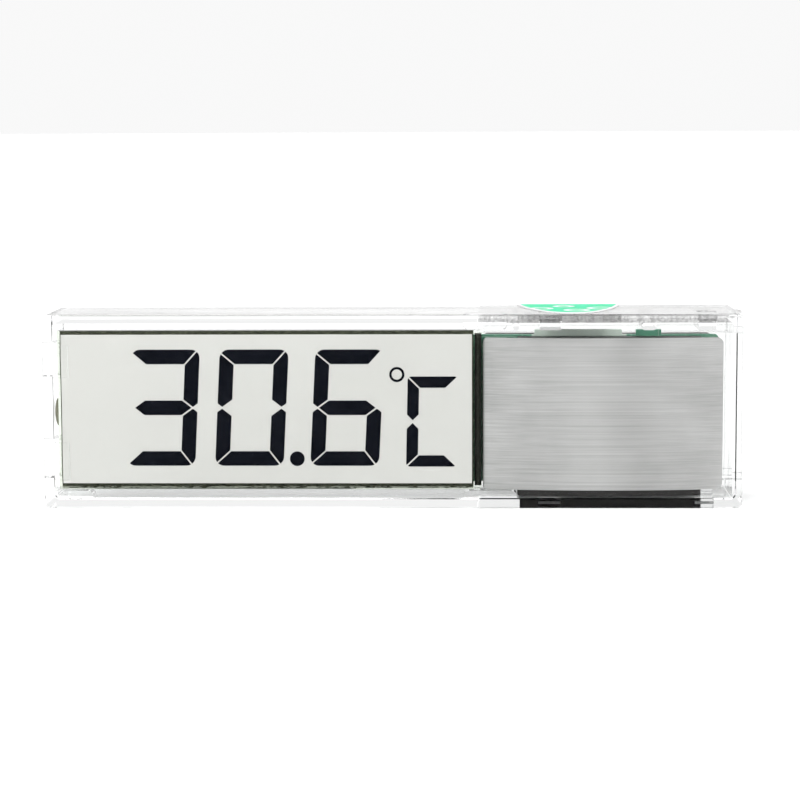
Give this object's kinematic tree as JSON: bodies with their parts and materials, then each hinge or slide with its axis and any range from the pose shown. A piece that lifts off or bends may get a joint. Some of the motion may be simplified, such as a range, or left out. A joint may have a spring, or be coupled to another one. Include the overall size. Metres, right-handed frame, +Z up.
{
  "type": "stick-on digital aquarium thermometer",
  "caption": "Flat clear-cased digital thermometer that sticks to a tank: display window, brushed plate, button cells under a sliding cover and a steel sensor cap on the back.",
  "frame": {"origin": "under the middle of the case, on the long face that it stands on", "axes": "+X to the right as the display is read, along the case; -Y out of the display window; +Z up"},
  "size_m": [0.075, 0.0128, 0.0208],
  "materials": {
    "clear_plastic": "clear injection-moulded polystyrene",
    "display_glass": "thin flat display glass",
    "polariser_film": "matt front polarising film over the pale display",
    "reflector_film": "silvery reflective rear film",
    "end_seal_resin": "olive-grey cured resin drop",
    "brushed_plate": "horizontal brushing",
    "black_plastic": "fine matt moulded black",
    "circuit_board": "green solder mask with tinned tracks",
    "black_rubber": "layered conductive silicone strip",
    "black_resin": "cured black epoxy",
    "ceramic_tan": "sintered ceramic with tinned ends",
    "ceramic_black": "dark coated ceramic with tinned ends",
    "bare_steel": "bright nickel-plated steel",
    "tinned_wire": "tinned copper wire",
    "grey_foam": "closed-cell foam",
    "white_foam": "white closed-cell adhesive foam",
    "liner_paper": "waxed release paper",
    "seal_green": "mint green printed seal label"
  },
  "bodies": {
    "case": {"front_case": "clear_plastic", "back_cover": "clear_plastic", "lcd_front_polariser": "polariser_film", "lcd_front_glass": "display_glass", "lcd_rear_glass": "display_glass", "lcd_rear_reflector": "reflector_film", "lcd_end_seal": "end_seal_resin", "zebra_connector": "black_rubber", "lcd_cushion_1": "grey_foam", "lcd_cushion_2": "grey_foam", "face_plate": "brushed_plate", "plate_carrier": "black_plastic", "main_board": "circuit_board", "chip_blob": "black_resin", "watch_crystal": "bare_steel", "capacitor_1": "ceramic_tan", "capacitor_2": "ceramic_tan", "capacitor_3": "ceramic_tan", "resistor_1": "ceramic_black", "resistor_2": "ceramic_black", "board_screw_1": "bare_steel", "board_screw_2": "bare_steel", "sensor_cap": "bare_steel", "thermistor_bead": "black_resin", "thermistor_lead_1": "tinned_wire", "thermistor_lead_2": "tinned_wire", "battery_tray": "black_plastic", "button_cell_1": "bare_steel", "button_cell_2": "bare_steel", "contact_negative": "bare_steel", "contact_positive": "bare_steel", "adhesive_pad": "white_foam", "pad_liner": "liner_paper", "seal_sticker": "seal_green"},
    "battery_cover": {"battery_cover": "clear_plastic", "contact_bridge": "bare_steel"}
  },
  "joints": [
    {"name": "battery_cover_slide", "type": "slide", "parent": "case", "child": "battery_cover", "axis": [1, 0, 0], "range_m": [0, 0.0274]}
  ]
}
